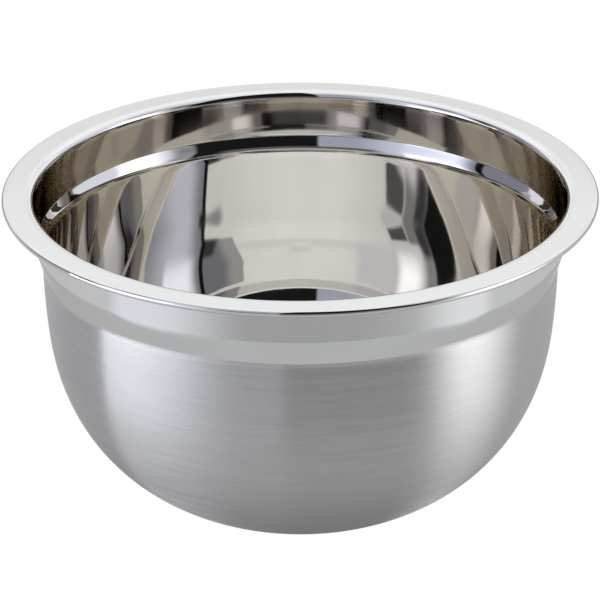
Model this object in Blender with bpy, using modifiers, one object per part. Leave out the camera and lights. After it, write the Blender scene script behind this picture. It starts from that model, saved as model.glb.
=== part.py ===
"""Deep mixing bowl, drawn and spun from one sheet of stainless steel.

Metres, +Z up, origin at the centre of the base's underside. The whole bowl is
one turned sheet of constant thickness. Its face side is drawn as a pen path in
the (radius, height) plane, from the centre of the base up the inside, over the
rim and round the curled edge, and the back of the sheet is that path set off by
the sheet's thickness.
"""

import math

import bpy

# Overall
RIM_DIAMETER = 0.260  # outside of the curled edge
HEIGHT = 0.143  # base underside to top of rim
SHEET = 0.0008  # wall thickness everywhere

# Rim: flat flange, curled edge, bend down into the neck
FLANGE_INNER_DIAMETER = 0.2384  # where the flat top starts to turn down
BEND_RADIUS = 0.0032  # face side of the bend between flange and neck
CURL_RADIUS = 0.0015  # outside radius of the rolled edge
CURL_SWEEP = 235.0  # degrees that the edge is rolled under
# Neck: band below the rim, leaning out a little, then the small inward ledge
NECK_LEAN = 3.1  # degrees from upright, opening upwards
NECK_FOOT_LEAN = 1.6  # the same at the neck's foot
NECK_FOOT_HEIGHT = 0.0060  # over which the lean eases off
LEDGE_TOP_DEPTH = 0.0206  # below the rim's top, where the neck ends
LEDGE_HEIGHT = 0.0078
LEDGE_TOP_RADIUS = 0.0015  # face side, where the ledge turns up into the neck
LEDGE_LEAN = 27.5  # degrees from upright, at its steepest
# Body: tapered wall, nearly upright below the ledge, then a full rounded corner to the base
WALL_TOP_LEAN = 0.5  # degrees from upright, just below the ledge
WALL_EASE_HEIGHT = 0.0245  # over which it leans in to the full taper
WALL_TAPER = 4.6  # degrees from upright
CORNER_TOP_RADIUS = 0.1110  # inside, where the wall meets the corner
CORNER_TOP_DEPTH = 0.0553  # below the rim's top, where the corner starts
CORNER_FLOOR_DEPTH = 0.1486  # depth that the rounding would close at
CORNER_POWER = 2.38  # 2 is an ellipse, more is squarer
BASE_BLEND_RADIUS = 0.015  # face side, between the corner and the flat base

# Facets
STEPS = 64  # round the axis
CORNER_POINTS = 13

STEEL = (0.62, 0.62, 0.63, 1.0)


def corner_curve(points):
    """Body corner, face side, from its lower end up to the wall: a superellipse sheared to the wall's taper."""
    drop = CORNER_FLOOR_DEPTH - CORNER_TOP_DEPTH
    taper = math.tan(math.radians(WALL_TAPER))

    def at(angle):
        down = drop * math.sin(angle) ** (2 / CORNER_POWER)
        keep = math.cos(angle) ** (2 / CORNER_POWER)
        return (CORNER_TOP_RADIUS - down * taper) * keep, CORNER_TOP_DEPTH + down

    def slope(angle):
        (r0, d0), (r1, d1) = at(angle - 1e-5), at(angle + 1e-5)
        return math.degrees(math.atan2(d1 - d0, r0 - r1))

    def floor_depth(angle):
        """Depth of the flat base if the blend starts at this angle."""
        rise = BASE_BLEND_RADIUS * (1 - math.cos(math.radians(slope(angle))))
        return at(angle)[1] + rise

    low, high = 0.2, math.pi / 2 - 1e-3
    for _ in range(60):
        middle = (low + high) / 2
        if floor_depth(middle) < HEIGHT - SHEET:
            low = middle
        else:
            high = middle
    path = []
    for i in range(points):
        angle = low * (1 - i / (points - 1))
        path.append(at(max(angle, 1e-9)))
    return path, slope(low)


class Pen:
    """A path in the (radius, height) plane, with the direction it is heading at each point."""

    def __init__(self, r, z, heading):
        self.points = [(r, z, heading)]

    @property
    def here(self):
        return self.points[-1]

    def line(self, length, parts=1):
        for _ in range(parts):
            r, z, a = self.here
            step = length / parts
            self.points.append((r + step * math.cos(a), z + step * math.sin(a), a))

    def arc(self, radius, turn, parts):
        """Turns by so many degrees, anticlockwise if positive, round an arc of this radius."""
        r, z, a = self.here
        side = 1 if turn > 0 else -1
        cr, cz = r - side * radius * math.sin(a), z + side * radius * math.cos(a)
        for i in range(1, parts + 1):
            b = a + math.radians(turn) * i / parts
            self.points.append(
                (cr + side * radius * math.sin(b), cz - side * radius * math.cos(b), b)
            )


def face_path():
    """Face side of the sheet, from the axis outwards. The face is on the left of the path."""
    corner, end_slope = corner_curve(CORNER_POINTS)
    blend = BASE_BLEND_RADIUS
    run = blend * math.sin(math.radians(end_slope))
    pen = Pen(0.0, SHEET, 0.0)
    pen.line(corner[0][0] - run)
    pen.arc(blend, end_slope, 2)
    path = pen.points
    heights = [(r, HEIGHT - depth) for r, depth in corner]
    for i in range(1, len(heights)):
        if i < len(heights) - 1:
            (r0, z0), (r1, z1) = heights[i - 1], heights[i + 1]
            heading = math.atan2(z1 - z0, r1 - r0)
        else:
            heading = math.radians(90 - WALL_TAPER)
        path.append((*heights[i], heading))

    # Wall up to the ledge, the ledge as a wide arc, a straight and a tight arc, then the neck and the rim.
    lean, foot = math.radians(NECK_LEAN), math.radians(NECK_FOOT_LEAN)
    taper, top = math.radians(WALL_TAPER), math.radians(WALL_TOP_LEAN)
    pen = Pen(*path[-1])
    pen.line(wall_straight() / math.cos(taper))
    ease = WALL_EASE_HEIGHT / (math.sin(taper) - math.sin(top))
    pen.arc(ease, WALL_TAPER - WALL_TOP_LEAN, 3)
    foot_radius, straight = ledge_shape()
    pen.arc(foot_radius, -(LEDGE_LEAN - WALL_TOP_LEAN), 4)
    pen.line(straight)
    pen.arc(LEDGE_TOP_RADIUS, LEDGE_LEAN - NECK_FOOT_LEAN, 2)
    ease = NECK_FOOT_HEIGHT / (math.sin(lean) - math.sin(foot))
    pen.arc(ease, -(NECK_LEAN - NECK_FOOT_LEAN), 2)
    pen.line(neck_straight() / math.cos(lean))
    pen.arc(BEND_RADIUS, -(90 - NECK_LEAN), 5)
    pen.line(RIM_DIAMETER / 2 - CURL_RADIUS - pen.here[0])
    pen.arc(CURL_RADIUS, -CURL_SWEEP, 8)
    return path + pen.points[1:]


def wall_straight():
    """Height of the wall's straight part, between the corner and the easing top."""
    return CORNER_TOP_DEPTH - LEDGE_TOP_DEPTH - LEDGE_HEIGHT - WALL_EASE_HEIGHT


def neck_straight():
    """Height of the neck's straight part, between the bend at the rim and the easing foot."""
    bend_foot = BEND_RADIUS * (1 - math.sin(math.radians(NECK_LEAN)))
    return LEDGE_TOP_DEPTH - bend_foot - NECK_FOOT_HEIGHT


def ledge_shape():
    """Radius of the ledge's lower arc and the length of the straight above it, at its full lean."""
    foot, bottom = math.radians(NECK_FOOT_LEAN), math.radians(WALL_TOP_LEAN)
    lean, neck = math.radians(LEDGE_LEAN), math.radians(NECK_LEAN)
    taper = math.radians(WALL_TAPER)
    neck_ease = NECK_FOOT_HEIGHT / (math.sin(neck) - math.sin(foot))
    neck_foot_radius = (
        FLANGE_INNER_DIAMETER / 2
        - BEND_RADIUS * math.cos(neck)
        - neck_straight() * math.tan(neck)
        - neck_ease * (math.cos(foot) - math.cos(neck))
    )
    wall_ease = WALL_EASE_HEIGHT / (math.sin(taper) - math.sin(bottom))
    wall_top_radius = (
        CORNER_TOP_RADIUS
        + wall_straight() * math.tan(taper)
        + wall_ease * (math.cos(bottom) - math.cos(taper))
    )
    # What the tight arc leaves of the ledge's step and height, for the straight and the wide arc.
    top_arc = LEDGE_TOP_RADIUS
    across = neck_foot_radius - wall_top_radius - top_arc * (math.cos(foot) - math.cos(lean))
    up = LEDGE_HEIGHT - top_arc * (math.sin(lean) - math.sin(foot))
    radius = (across * math.cos(lean) - up * math.sin(lean)) / (math.cos(lean - bottom) - 1)
    return radius, (up - radius * (math.sin(lean) - math.sin(bottom))) / math.cos(lean)


def sheet_profile():
    """Closed outline of the sheet's section, face side first, then back along the underside."""
    face = face_path()
    back = [
        (r + SHEET * math.sin(a), z - SHEET * math.cos(a), a) for r, z, a in face
    ]
    back[0] = (0.0, back[0][1], 0.0)
    return [(r, z) for r, z, _ in face], [(r, z) for r, z, _ in back]


def clear_scene():
    for obj in list(bpy.data.objects):
        bpy.data.objects.remove(obj, do_unlink=True)
    for group in list(bpy.data.collections):
        bpy.data.collections.remove(group)


def steel(name, colour, roughness):
    material = bpy.data.materials.new(name)
    material.use_nodes = True
    shader = material.node_tree.nodes["Principled BSDF"]
    shader.inputs["Base Color"].default_value = colour
    shader.inputs["Metallic"].default_value = 1.0
    shader.inputs["Roughness"].default_value = roughness
    material.diffuse_color = colour
    return material


def lathe(name, outline, group, material):
    """Turns an open outline, whose two ends lie on the axis, into a closed solid with a Screw modifier."""
    mesh = bpy.data.meshes.new(name)
    points = [(r, 0.0, z) for r, z in outline]
    mesh.from_pydata(points, [(i, i + 1) for i in range(len(points) - 1)], [])
    obj = bpy.data.objects.new(name, mesh)
    group.objects.link(obj)
    screw = obj.modifiers.new("Turn", "SCREW")
    screw.axis = "Z"
    screw.angle = 2 * math.pi
    screw.steps = STEPS
    screw.render_steps = STEPS
    screw.use_merge_vertices = True
    screw.merge_threshold = 0.00001
    screw.use_smooth_shade = True
    mesh.materials.append(material)
    return obj


def main():
    clear_scene()
    scene = bpy.context.scene
    scene.unit_settings.system = "METRIC"
    scene.unit_settings.scale_length = 1.0
    group = bpy.data.collections.new("mixing_bowl")
    scene.collection.children.link(group)
    # Up the inside from the axis, round the curled edge, and down the outside to the axis.
    face, back = sheet_profile()
    outline = face + back[::-1]
    lathe("bowl_shell", outline, group, steel("stainless_steel", STEEL, 0.14))


main()
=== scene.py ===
"""Looks for the mixing bowl: a fine turned sheet in place of the faceted one, polished and brushed
stainless steel, and a white studio with two soft boxes whose shapes show in the polish."""

import math

import bpy
from mathutils import Matrix, Vector


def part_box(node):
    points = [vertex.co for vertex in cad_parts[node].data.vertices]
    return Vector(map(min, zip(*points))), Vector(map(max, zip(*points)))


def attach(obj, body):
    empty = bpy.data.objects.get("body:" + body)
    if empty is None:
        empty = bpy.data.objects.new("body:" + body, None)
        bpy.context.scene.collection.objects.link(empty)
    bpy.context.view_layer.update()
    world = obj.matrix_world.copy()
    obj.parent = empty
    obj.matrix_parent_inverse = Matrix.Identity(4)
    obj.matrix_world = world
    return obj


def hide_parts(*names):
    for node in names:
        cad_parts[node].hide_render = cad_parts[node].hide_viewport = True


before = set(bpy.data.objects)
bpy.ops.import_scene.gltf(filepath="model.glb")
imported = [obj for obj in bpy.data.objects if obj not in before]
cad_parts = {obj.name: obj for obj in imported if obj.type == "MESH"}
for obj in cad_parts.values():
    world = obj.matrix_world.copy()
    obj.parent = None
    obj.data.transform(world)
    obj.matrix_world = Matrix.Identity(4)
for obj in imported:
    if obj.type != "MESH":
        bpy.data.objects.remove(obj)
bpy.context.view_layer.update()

low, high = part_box("bowl_shell")
RIM_R = (high.x - low.x) / 2
HEIGHT = high.z - low.z

# ------------------------------------------------------------------ section of the sheet
SHEET = 0.0008
FLANGE_INNER_R = 0.1192
BEND = 0.0032
CURL = 0.0015
CURL_SWEEP = math.radians(235.0)
NECK_LEAN = math.radians(3.1)
NECK_FOOT = math.radians(1.6)
# Ledge and the bends that run into it: depth of its top below the rim, its height, the radius where it turns
# up into the neck, its steepest lean, and the heights over which the neck and the wall ease off towards it.
# The outside is drawn rounder for looks only: it starts higher, ends lower and leans less.
INSIDE_LEDGE = (0.0206, 0.0078, 0.0015, math.radians(27.5), 0.0060, 0.0245)
OUTSIDE_LEDGE = (0.0196, 0.0118, 0.0140, math.radians(17.5), 0.0050, 0.0220)
WALL_TOP = math.radians(0.5)
TAPER = math.radians(4.6)
CORNER_R = 0.1110
CORNER_TOP = 0.0553
CORNER_FLOOR = 0.1486
POWER = 2.38
BASE_BLEND = 0.015
POLISH_BOTTOM = 0.0318  # below the rim, where the outside changes from polished to brushed


def corner(angle):
    """Point and heading of the rounded body corner, at this angle of the superellipse."""

    def at(a):
        down = (CORNER_FLOOR - CORNER_TOP) * math.sin(a) ** (2 / POWER)
        keep = math.cos(a) ** (2 / POWER)
        return (CORNER_R - down * math.tan(TAPER)) * keep, CORNER_TOP + down

    r, d = at(angle)
    step = min(1e-5, angle / 2)
    (r0, d0), (r1, d1) = at(angle - step), at(angle + step)
    return r, d, math.atan2(d1 - d0, r0 - r1)


def face_path(fine, ledge):
    """Face side of the sheet from the axis outwards, as (radius, height, heading), at fine points per feature."""
    lo, hi = 0.2, math.pi / 2 - 1e-3
    for _ in range(60):
        mid = (lo + hi) / 2
        _, d, slope = corner(mid)
        if d + BASE_BLEND * (1 - math.cos(slope)) < HEIGHT - SHEET:
            lo = mid
        else:
            hi = mid
    end_r, _, end_slope = corner(lo)
    path = [(0.0, SHEET, 0.0)]

    def line(length, parts):
        for _ in range(parts):
            r, z, a = path[-1]
            s = length / parts
            path.append((r + s * math.cos(a), z + s * math.sin(a), a))

    def arc(radius, turn, parts):
        r, z, a = path[-1]
        k = 1 if turn > 0 else -1
        cr, cz = r - k * radius * math.sin(a), z + k * radius * math.cos(a)
        for i in range(1, parts + 1):
            b = a + turn * i / parts
            path.append((cr + k * radius * math.sin(b), cz - k * radius * math.cos(b), b))

    line(end_r - BASE_BLEND * math.sin(end_slope), 3 * fine)
    arc(BASE_BLEND, end_slope, fine)
    n = 10 * fine
    for i in range(1, n):
        r, d, a = corner(max(lo * (1 - i / n), 1e-4))
        path.append((r, HEIGHT - d, a))
    path.append((CORNER_R, HEIGHT - CORNER_TOP, math.pi / 2 - TAPER))

    ledge_top, ledge_h, ledge_top_r, ledge_lean, neck_ease, wall_ease = ledge
    wall = CORNER_TOP - ledge_top - ledge_h - wall_ease
    wall_arc = wall_ease / (math.sin(TAPER) - math.sin(WALL_TOP))
    neck = ledge_top - BEND * (1 - math.sin(NECK_LEAN)) - neck_ease
    neck_arc = neck_ease / (math.sin(NECK_LEAN) - math.sin(NECK_FOOT))
    wall_top_r = CORNER_R + wall * math.tan(TAPER) + wall_arc * (math.cos(WALL_TOP) - math.cos(TAPER))
    foot_r = FLANGE_INNER_R - BEND * math.cos(NECK_LEAN) - neck * math.tan(NECK_LEAN)
    foot_r -= neck_arc * (math.cos(NECK_FOOT) - math.cos(NECK_LEAN))
    # What the upper arc leaves of the ledge's step and height, for the straight and the lower arc.
    across = foot_r - wall_top_r - ledge_top_r * (math.cos(NECK_FOOT) - math.cos(ledge_lean))
    up = ledge_h - ledge_top_r * (math.sin(ledge_lean) - math.sin(NECK_FOOT))
    radius = across * math.cos(ledge_lean) - up * math.sin(ledge_lean)
    radius /= math.cos(ledge_lean - WALL_TOP) - 1
    line(wall / math.cos(TAPER), max(2, fine // 3))
    arc(wall_arc, TAPER - WALL_TOP, fine)
    arc(radius, -(ledge_lean - WALL_TOP), fine)
    line((up - radius * (math.sin(ledge_lean) - math.sin(WALL_TOP))) / math.cos(ledge_lean), max(2, fine // 3))
    arc(ledge_top_r, ledge_lean - NECK_FOOT, fine)
    arc(neck_arc, -(NECK_LEAN - NECK_FOOT), max(3, fine // 2))
    line(neck / math.cos(NECK_LEAN), fine)
    arc(BEND, -(math.pi / 2 - NECK_LEAN), fine)
    line(RIM_R - CURL - path[-1][0], fine)
    arc(CURL, -CURL_SWEEP, 2 * fine)
    return path


# ------------------------------------------------------------------ fine mesh
BRUSH_FADE = 0.0028  # length over which the brushing sets in below the outside polish
brush_start = [0.0]  # filled in by fine_bowl: metres along the section where it starts
inner_neck = [0.0, 0.0]  # filled in by fine_bowl: where the inside of the neck starts and ends


def fine_bowl():
    fine = 8
    steps = 256
    face = face_path(fine, INSIDE_LEDGE)
    outside = face_path(fine, OUTSIDE_LEDGE)
    back = [(r + SHEET * math.sin(a), z - SHEET * math.cos(a), a + math.pi) for r, z, a in outside]
    back[0] = (0.0, back[0][1], math.pi)
    outline = [(*p, 0) for p in face] + [(*p, 1) for p in back[::-1]]
    along = [0.0]
    for (r0, z0, *_), (r1, z1, *_) in zip(outline, outline[1:]):
        along.append(along[-1] + math.hypot(r1 - r0, z1 - z0))
    inner = outline[1:-1]
    count = len(inner)
    verts = [(0.0, 0.0, outline[0][1])]
    for j in range(steps):
        t = 2 * math.pi * j / steps
        c, s = math.cos(t), math.sin(t)
        verts += [(r * c, r * s, z) for r, z, _, _ in inner]
    verts.append((0.0, 0.0, outline[-1][1]))
    last = len(verts) - 1
    faces, zone = [], []

    def zone_of(i):
        r, z, _, side = inner[min(i, count - 1)]
        if not side:
            return 0
        if z > HEIGHT - POLISH_BOTTOM:
            return 0
        return 1

    for j in range(steps):
        k = (j + 1) % steps
        a, b = 1 + j * count, 1 + k * count
        faces.append((0, a, b))
        zone.append(0)
        for i in range(count - 1):
            faces.append((a + i, a + i + 1, b + i + 1, b + i))
            zone.append(max(zone_of(i), zone_of(i + 1)) if inner[i][3] else 0)
        faces.append((a + count - 1, last, b + count - 1))
        zone.append(1)
    for (r, z, _, side), distance in zip(outline, along):
        if side and z > HEIGHT - POLISH_BOTTOM:
            brush_start[0] = distance
        if not side and z < HEIGHT - INSIDE_LEDGE[0]:
            inner_neck[0] = distance
        if not side and z < HEIGHT - BEND and r < FLANGE_INNER_R:
            inner_neck[1] = distance
    mesh = bpy.data.meshes.new("bowl_sheet")
    mesh.from_pydata(verts, [], faces)
    mesh.polygons.foreach_set("material_index", zone)
    mesh.polygons.foreach_set("use_smooth", [True] * len(faces))
    values = [along[0]] + along[1:-1] * steps + [along[-1]]
    attribute = mesh.attributes.new("along", "FLOAT", "POINT")
    attribute.data.foreach_set("value", values)
    # The cut end of the sheet, inside the curl, keeps its two sharp corners.
    cut = len(face) - 2  # index in inner of the last face-side point
    mesh.update()
    sharp = []
    for edge in mesh.edges:
        i, j = edge.vertices
        if i == 0 or j == last:
            sharp.append(False)
            continue
        p, q = (i - 1) % count, (j - 1) % count
        sharp.append(p == q and p in (cut, cut + 1))
    mesh.attributes.new("sharp_edge", "BOOLEAN", "EDGE").data.foreach_set("value", sharp)
    mesh.update()
    obj = bpy.data.objects.new("bowl_sheet", mesh)
    bpy.context.scene.collection.objects.link(obj)
    return obj


# ------------------------------------------------------------------ node helpers
class Nodes:
    """Short spellings for the few shader nodes used here."""

    def __init__(self, tree):
        self.tree = tree

    def add(self, kind, **inputs):
        node = self.tree.nodes.new(kind)
        for name, value in inputs.items():
            self.set(node, name.replace("_", " "), value)
        return node

    def set(self, node, name, value):
        socket = node.inputs[name]
        if isinstance(value, bpy.types.NodeSocket):
            self.tree.links.new(value, socket)
        else:
            socket.default_value = value

    def math(self, operation, a, b=None, c=None, clamp=False):
        node = self.tree.nodes.new("ShaderNodeMath")
        node.operation = operation
        node.use_clamp = clamp
        for i, value in enumerate((a, b, c)):
            if value is not None:
                self.set(node, i, value)
        return node.outputs[0]

    def mix(self, factor, a, b):
        node = self.tree.nodes.new("ShaderNodeMix")
        node.data_type = "RGBA"
        self.set(node, 0, factor)
        self.set(node, 6, a)
        self.set(node, 7, b)
        return node.outputs[2]

    def ramp(self, value, low_in, high_in, low_out=0.0, high_out=1.0, smooth=True):
        node = self.tree.nodes.new("ShaderNodeMapRange")
        node.interpolation_type = "SMOOTHSTEP" if smooth else "LINEAR"
        node.clamp = True
        for i, v in enumerate((value, low_in, high_in, low_out, high_out)):
            self.set(node, i, v)
        return node.outputs[0]

    def combine(self, x, y, z):
        return self.add("ShaderNodeCombineXYZ", X=x, Y=y, Z=z).outputs[0]


def new_material(name):
    material = bpy.data.materials.new(name)
    material.use_nodes = True
    nodes = Nodes(material.node_tree)
    shader = material.node_tree.nodes["Principled BSDF"]
    return material, nodes, shader


def turned_coordinates(nodes):
    """(cos, sin, along) of the turned sheet: direction round the axis, and metres along the section."""
    geometry = nodes.add("ShaderNodeNewGeometry")
    parts = nodes.add("ShaderNodeSeparateXYZ", Vector=geometry.outputs["Position"])
    x, y = parts.outputs[0], parts.outputs[1]
    r = nodes.math("SQRT", nodes.math("ADD", nodes.math("MULTIPLY", x, x), nodes.math("MULTIPLY", y, y)))
    r = nodes.math("MAXIMUM", r, 1e-5)
    along = nodes.add("ShaderNodeAttribute")
    along.attribute_name = "along"
    return nodes.math("DIVIDE", x, r), nodes.math("DIVIDE", y, r), along.outputs["Fac"], parts.outputs[2]


def noise(nodes, vector, scale, detail=2.0, roughness=0.5):
    node = nodes.add("ShaderNodeTexNoise", Vector=vector, Scale=scale, Detail=detail, Roughness=roughness)
    return node.outputs[0]


# ------------------------------------------------------------------ steel
def steel_tints(nodes, shader, colour, edge):
    """Base colour, and the tint that keeps the steel from turning white at a glancing view."""
    nodes.set(shader, "Metallic", 1.0)
    nodes.set(shader, "Base Color", colour)
    nodes.set(shader, "Specular Tint", edge)


def round_streaks(nodes, c, s, along, turns, per_metre, detail=2.0, roughness=0.5):
    """Noise drawn out round the bowl: so many lumps round it, so many lines per metre of section."""
    vector = nodes.combine(nodes.math("MULTIPLY", c, turns), nodes.math("MULTIPLY", s, turns), nodes.math("MULTIPLY", along, per_metre))
    return noise(nodes, vector, 1.0, detail, roughness)


def polished_steel():
    material, nodes, shader = new_material("polished_steel")
    c, s, along, _ = turned_coordinates(nodes)
    # Fine lines left by the polishing wheel, a faint cloudiness, and the slow waves of a spun sheet.
    lines = round_streaks(nodes, c, s, along, 1.5, 1400.0)
    cloud = round_streaks(nodes, c, s, along, 3.0, 25.0, 3.0)
    waves = round_streaks(nodes, c, s, along, 2.2, 60.0, 1.0)
    colour = nodes.mix(nodes.ramp(cloud, 0.3, 0.7), (0.713, 0.679, 0.625, 1), (0.737, 0.701, 0.645, 1))
    # Painted shade: the inside of the neck is painted a little darker, and set a little softer, for looks only.
    foot, top = inner_neck
    neck = nodes.math("MULTIPLY", nodes.ramp(along, foot, foot + 0.001), nodes.ramp(along, top - 0.001, top, 1.0, 0.0))
    colour = nodes.mix(neck, colour, (0.57, 0.54, 0.50, 1))
    steel_tints(nodes, shader, colour, (0.85, 0.83, 0.79, 1))
    rough = nodes.math("ADD", nodes.ramp(cloud, 0.3, 0.75, 0.012, 0.03), nodes.math("MULTIPLY", lines, 0.012))
    rough = nodes.math("ADD", rough, nodes.math("MULTIPLY", neck, 0.03))
    nodes.set(shader, "Roughness", rough)
    fine = nodes.add("ShaderNodeBump", Strength=0.02, Distance=0.00002, Height=lines)
    soft = nodes.add("ShaderNodeBump", Strength=0.10, Distance=0.00012, Height=waves, Normal=fine.outputs[0])
    nodes.set(shader, "Normal", soft.outputs[0])
    return material


def brushed_steel():
    material, nodes, shader = new_material("brushed_steel")
    c, s, along, _ = turned_coordinates(nodes)
    hair = round_streaks(nodes, c, s, along, 3.0, 2600.0, 3.0, 0.6)
    band = round_streaks(nodes, c, s, along, 2.0, 420.0, 3.0, 0.6)
    cloud = round_streaks(nodes, c, s, along, 2.5, 18.0, 3.0, 0.6)
    fleck = round_streaks(nodes, c, s, along, 40.0, 700.0, 2.0, 0.6)
    colour = nodes.mix(nodes.ramp(hair, 0.3, 0.7), (0.585, 0.550, 0.505, 1), (0.67, 0.630, 0.575, 1))
    colour = nodes.mix(nodes.ramp(cloud, 0.3, 0.7, 0.0, 0.3), colour, (0.61, 0.567, 0.515, 1))
    colour = nodes.mix(nodes.ramp(fleck, 0.62, 0.75, 0.0, 0.35), colour, (0.52, 0.475, 0.435, 1))
    steel_tints(nodes, shader, colour, (0.8, 0.8, 0.8, 1))
    rough = nodes.math("ADD", nodes.ramp(band, 0.25, 0.75, 0.27, 0.32), nodes.math("MULTIPLY", hair, 0.04))
    setting_in = nodes.ramp(along, brush_start[0], brush_start[0] + BRUSH_FADE, 0.4, 1.0)
    nodes.set(shader, "Roughness", nodes.math("MULTIPLY", rough, setting_in))
    # The scratches run round the bowl, so a highlight is drawn out across them, up the wall.
    geometry = nodes.add("ShaderNodeNewGeometry")
    across = nodes.tree.nodes.new("ShaderNodeVectorMath")
    across.operation = "CROSS_PRODUCT"
    nodes.set(across, 0, geometry.outputs["Normal"])
    nodes.set(across, 1, nodes.combine(nodes.math("MULTIPLY", s, -1.0), c, 0.0))
    nodes.set(shader, "Anisotropic", 1.0)
    nodes.set(shader, "Tangent", across.outputs[0])
    bump = nodes.add("ShaderNodeBump", Strength=0.25, Distance=0.00002, Height=hair)
    bump2 = nodes.add("ShaderNodeBump", Strength=0.2, Distance=0.00003, Height=band, Normal=bump.outputs[0])
    nodes.set(shader, "Normal", bump2.outputs[0])
    return material


bowl = fine_bowl()
bowl.data.materials.append(polished_steel())
bowl.data.materials.append(brushed_steel())
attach(bowl, "root")
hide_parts("bowl_shell")

# ------------------------------------------------------------------ colours of the studio
def tint(colour, v):
    return (colour[0] * v, colour[1] * v, colour[2] * v, 1.0)


PAPER = (0.962, 1.02, 1.123)
COOL = (0.962, 1.02, 1.194)
LAVENDER = (0.942, 1.02, 1.305)
GREY = (0.982, 1.02, 1.174)


def low_light(nodes, base, rx, ry, rz):
    """The light low in the room, level and just below it, which only the brushed body gathers. It's laid out
    by the heading of the wall that turns it to the camera, so each edge stands upright on the body."""
    toward = nodes.math("ARCTAN2", rx, nodes.math("SUBTRACT", 0.921, ry))
    turn = nodes.math("MULTIPLY", toward, 180 / math.pi)
    value = nodes.ramp(turn, -50, -11, 3.5, 0.68)
    for start, end, then in ((-48.6, -49.4, 0.54), (-4.4, -3.4, 0.28), (25, 40, 3.1), (43, 58, 0.66)):
        lit = nodes.ramp(turn, start, end) if end > start else nodes.ramp(turn, end, start, 1.0, 0.0)
        value = nodes.math("ADD", value, nodes.math("MULTIPLY", lit, nodes.math("SUBTRACT", then, value)))
    colour = nodes.mix(nodes.ramp(turn, 0, 35), LOW_LEFT, LOW_RIGHT)
    level = nodes.tree.nodes.new("ShaderNodeVectorMath")
    level.operation = "SCALE"
    nodes.set(level, 0, colour)
    nodes.set(level, "Scale", value)
    mask = nodes.math("MULTIPLY", nodes.ramp(rz, -0.36, -0.32), nodes.ramp(rz, 0.04, 0.12, 1.0, 0.0))
    # Not in the level part straight behind the bowl
    mask = nodes.math("MULTIPLY", mask, nodes.ramp(ry, 0.45, 0.75, 1.0, 0.0))
    return nodes.mix(mask, base, level.outputs[0])


LOW_LEFT = (0.91, 1.0, 1.18, 1)
LOW_RIGHT = (0.93, 1.0, 1.09, 1)

# ------------------------------------------------------------------ floor
bpy.ops.mesh.primitive_plane_add(size=12.0, location=(0, 0, -0.0003))
floor = bpy.context.object
floor.name = "floor"
material = bpy.data.materials.new("pale_floor")
material.use_nodes = True
material.node_tree.nodes.clear()
nodes = Nodes(material.node_tree)
place = nodes.add("ShaderNodeSeparateXYZ", Vector=nodes.add("ShaderNodeNewGeometry").outputs["Position"])
x, y = place.outputs[0], place.outputs[1]
far = nodes.math("SQRT", nodes.math("ADD", nodes.math("MULTIPLY", x, x), nodes.math("MULTIPLY", y, y)))
turn = nodes.math("MULTIPLY", nodes.math("ARCTAN2", x, y), 180 / math.pi)
# Painted shade: the ground is painted darker towards the camera's side than behind and to the sides.
front_shade = nodes.ramp(nodes.math("ABSOLUTE", turn), 100, 165)
ground = nodes.mix(front_shade, tint(PAPER, 0.74), tint(PAPER, 0.47))
# Light from the two soft boxes pools on the floor, each pool cut off along the edge of its box
lit = nodes.ramp(y, -0.110, -0.062, 1.0, 0.0)
left_pool = nodes.math("MULTIPLY", nodes.ramp(turn, -162, -120), lit)
right_pool = nodes.math("MULTIPLY", nodes.ramp(turn, 116, 142, 1.0, 0.0), lit)
pools = nodes.mix(nodes.math("GREATER_THAN", x, 0.0), left_pool, right_pool)
pool = nodes.mix(nodes.math("GREATER_THAN", x, 0.0), tint(COOL, 0.98), tint(PAPER, 0.98))
ground = nodes.mix(pools, ground, pool)
ground = nodes.mix(nodes.math("MULTIPLY", pools, nodes.ramp(far, 0.36, 0.9)), ground, tint(PAPER, 1.7))
# Painted shade: far out on the camera's side, towards the unlit room, the ground is painted nearly black.
room = nodes.math("MAXIMUM", nodes.ramp(turn, 122, 140), nodes.ramp(turn, -175, -171, 1.0, 0.0))
ground = nodes.mix(nodes.math("MULTIPLY", room, nodes.ramp(far, 0.45, 0.8)), ground, tint(PAPER, 0.10))
# The bowl keeps light off the floor round its base.
near_front = nodes.ramp(far, 0.293, 0.308)
near_side = nodes.ramp(far, 0.19, 0.31)
away = nodes.math("ADD", near_front, nodes.math("MULTIPLY", pools, nodes.math("SUBTRACT", near_side, near_front)))
ground = nodes.mix(away, tint(PAPER, 0.60), ground)
ground = nodes.mix(nodes.ramp(far, 0.06, 0.15, 1.0, 0.0), ground, tint(PAPER, 0.30))
back = nodes.add("ShaderNodeSeparateXYZ", Vector=nodes.add("ShaderNodeNewGeometry").outputs["Incoming"])
ground = low_light(nodes, ground, *(nodes.math("MULTIPLY", back.outputs[i], -1.0) for i in range(3)))
# The floor is no lamp but glows: the camera sees it plain white, and reflections see the painted ground with its
# painted pools of light and painted shade.
seen = nodes.mix(nodes.add("ShaderNodeLightPath").outputs["Is Camera Ray"], ground, (1.0, 1.0, 1.0, 1.0))
nodes.add("ShaderNodeOutputMaterial", Surface=nodes.add("ShaderNodeEmission", Color=seen, Strength=1.0).outputs[0])
floor.data.materials.append(material)

# ------------------------------------------------------------------ studio
world = bpy.data.worlds.new("studio")
bpy.context.scene.world = world
world.use_nodes = True
world.node_tree.nodes.clear()
nodes = Nodes(world.node_tree)
direction = nodes.add("ShaderNodeTexCoord").outputs["Generated"]
parts = nodes.add("ShaderNodeSeparateXYZ", Vector=direction)
dx, dy, dz = parts.outputs
az = nodes.math("MULTIPLY", nodes.math("ARCTAN2", dx, dy), 180 / math.pi)  # 0 behind the bowl, 90 to its right
el = nodes.math("MULTIPLY", nodes.math("ARCSINE", nodes.math("MULTIPLY", dz, 0.99999)), 180 / math.pi)
side = nodes.math("ABSOLUTE", az)


def both(*masks):
    found = masks[0]
    for mask in masks[1:]:
        found = nodes.math("MULTIPLY", found, mask)
    return found


def rise(value, start, end):
    return nodes.ramp(value, start, end)


def fall(value, start, end):
    return nodes.ramp(value, start, end, 1.0, 0.0)


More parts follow.
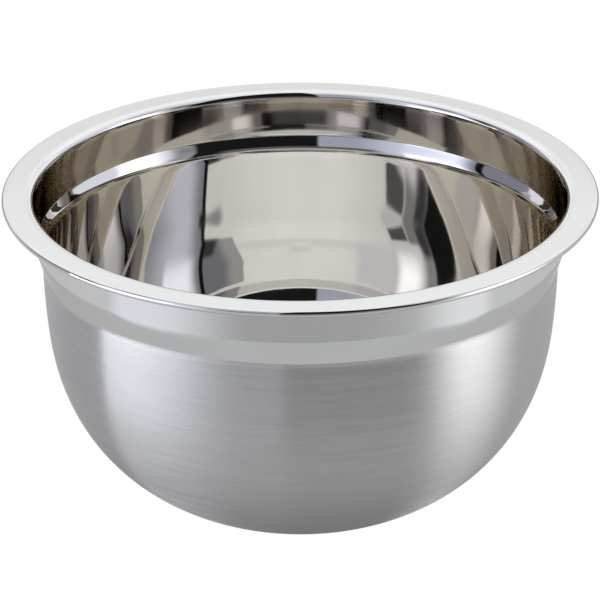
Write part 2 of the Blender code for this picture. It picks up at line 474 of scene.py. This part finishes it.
def window(az0, az1, el0, el1, soft_az, soft_el, across=None):
    """Mask of a soft-edged panel between these azimuths and elevations, in degrees."""
    across = az if across is None else across
    return both(
        rise(across, az0 - soft_az, az0 + soft_az),
        fall(across, az1 - soft_az, az1 + soft_az),
        rise(el, el0 - soft_el, el0 + soft_el),
        fall(el, el1 - soft_el, el1 + soft_el),
    )


def leaning(base, slope, above=None):
    """Azimuth shifted by this much per degree of elevation over the base, so an edge leans."""
    over = nodes.math("SUBTRACT", el, base)
    if above:
        over = nodes.math("MAXIMUM", over, 0.0)
    return nodes.math("MULTIPLY", over, slope)


light = tint(PAPER, 1.21)


def paint(mask, colour, v):
    global light
    light = nodes.mix(mask, light, tint(colour, v))


def glow(mask, colour, v):
    global light
    node = nodes.tree.nodes.new("ShaderNodeMix")
    node.data_type = "RGBA"
    node.blend_type = "ADD"
    node.clamp_result = False
    nodes.set(node, 0, mask)
    nodes.set(node, 6, light)
    nodes.set(node, 7, tint(colour, v))
    light = node.outputs[2]


# Paper behind the bowl: brightest straight behind, dimmer in a belt and to the sides
paint(both(rise(el, 27, 33), fall(el, 42, 48)), PAPER, 1.29)
paint(both(rise(el, 21, 25), fall(el, 28, 32)), PAPER, 1.10)
paint(rise(side, 25, 90), PAPER, 1.02)
paint(window(52, 90, -5, 29, 5, 5), COOL, 0.93)
paint(window(-9, 9, 18, 22.4, 4, 0.8), PAPER, 1.07)
paint(window(-9, 9, 23, 27, 4, 0.8), PAPER, 1.20)
# The paper ends a little above the floor, over a dark gap
paint(both(fall(side, 84, 100), fall(el, 6, 10)), GREY, 0.10)
# Grey board low on the left, with a black gap behind it, and a second small board above
board = nodes.math("ADD", az, leaning(17, 0.75))
paint(window(-96, -52, -5, 35.5, 1, 1.5, board), GREY, 0.50)
paint(window(-96, -66, -5, 35.5, 6, 1.5, board), LAVENDER, 0.27)
paint(window(-96, -81, 24, 35, 3, 2.5), GREY, 0.06)
paint(window(-110, -84, 43, 56, 4, 1.5), GREY, 0.42)
# Left soft box, fading to both sides, hot low down, and the black edge of its frame
frame_line = nodes.math("ADD", nodes.math("ADD", az, leaning(33, 0.75, True)), leaning(20, 0.12))
box = window(-175, -93, -5, 66, 1, 8, frame_line)
paint(box, LAVENDER, 0.33)
paint(both(box, fall(frame_line, -113, -95)), LAVENDER, 0.86)
paint(both(box, fall(az, -158, -124)), LAVENDER, 0.45)
hot = both(box, rise(az, -134, -129), fall(az, -108, -95), fall(el, 21, 31))
paint(hot, LAVENDER, 1.0)
glow(hot, LAVENDER, 0.30)
glow(both(hot, fall(el, 12, 27)), LAVENDER, 0.42)
paint(window(-94.5, -90.5, -5, 64, 0.8, 3, frame_line), GREY, 0.01)
paint(window(-98, -90.5, 41, 64, 2, 1.5, frame_line), GREY, 0.03)
# Right soft box, hot low down, with a grey flag in front of its upper half
box = window(87, 130, -5, 62, 4, 4)
paint(box, GREY, 0.88)
paint(both(box, rise(az, 114, 121)), GREY, 0.36)
paint(both(box, rise(el, 31.5, 35), rise(az, 106, 110)), GREY, 0.30)
paint(both(box, rise(el, 26, 31), fall(el, 38, 42), rise(az, 117, 121)), GREY, 0.07)
paint(window(89, 107, 35, 41.5, 1.5, 1.2), GREY, 0.13)
paint(both(box, rise(el, 41.5, 44)), COOL, 0.80)
hot = both(rise(az, 87, 92), fall(az, 112, 124), fall(el, 29, 36))
paint(hot, COOL, 0.98)
middle = both(rise(az, 87, 97), fall(az, 106, 120))
glow(both(hot, middle, fall(el, 24, 31)), COOL, 0.45)
glow(both(hot, middle, fall(el, 14, 27)), COOL, 0.62)
# Unlit room behind the camera, a little lighter low down
paint(window(129.5, 190, -30, 88, 2.5, 4), GREY, 0.012)
paint(window(-190, -171.5, -30, 88, 1, 4), GREY, 0.012)
paint(both(rise(side, 140, 150), fall(el, 16, 24)), GREY, 0.14)
light = low_light(nodes, light, dx, dy, dz)

path = nodes.add("ShaderNodeLightPath")
seen = nodes.mix(path.outputs["Is Camera Ray"], light, (1.0, 1.0, 1.0, 1.0))
background = nodes.add("ShaderNodeBackground", Color=seen, Strength=1.0)
nodes.add("ShaderNodeOutputWorld", Surface=background.outputs[0])

# ------------------------------------------------------------------ camera
camera_data = bpy.data.cameras.new("camera")
camera = bpy.data.objects.new("camera", camera_data)
bpy.context.scene.collection.objects.link(camera)
elevation_angle = math.radians(22.62)
distance = 13.45 * RIM_R
rim_centre = Vector((0, 0, high.z))
camera.location = rim_centre + Vector((0, -math.cos(elevation_angle), math.sin(elevation_angle))) * distance
pitch = math.radians(24.21)
roll = math.radians(-0.26)
camera.rotation_mode = "QUATERNION"
camera.rotation_quaternion = (
    Matrix.Rotation(math.pi / 2 - pitch, 3, "X") @ Matrix.Rotation(roll, 3, "Z")
).to_quaternion()
camera_data.sensor_width = 36.0
camera_data.lens = 36.0 * 4010 / 600
camera_data.shift_x = -0.7 / 600
camera_data.shift_y = 0.5 / 600
camera_data.clip_end = 50.0
bpy.context.scene.camera = camera

scene = bpy.context.scene
scene.view_settings.view_transform = "Standard"
scene.view_settings.look = "None"
scene.cycles.max_bounces = 16
scene.cycles.glossy_bounces = 14
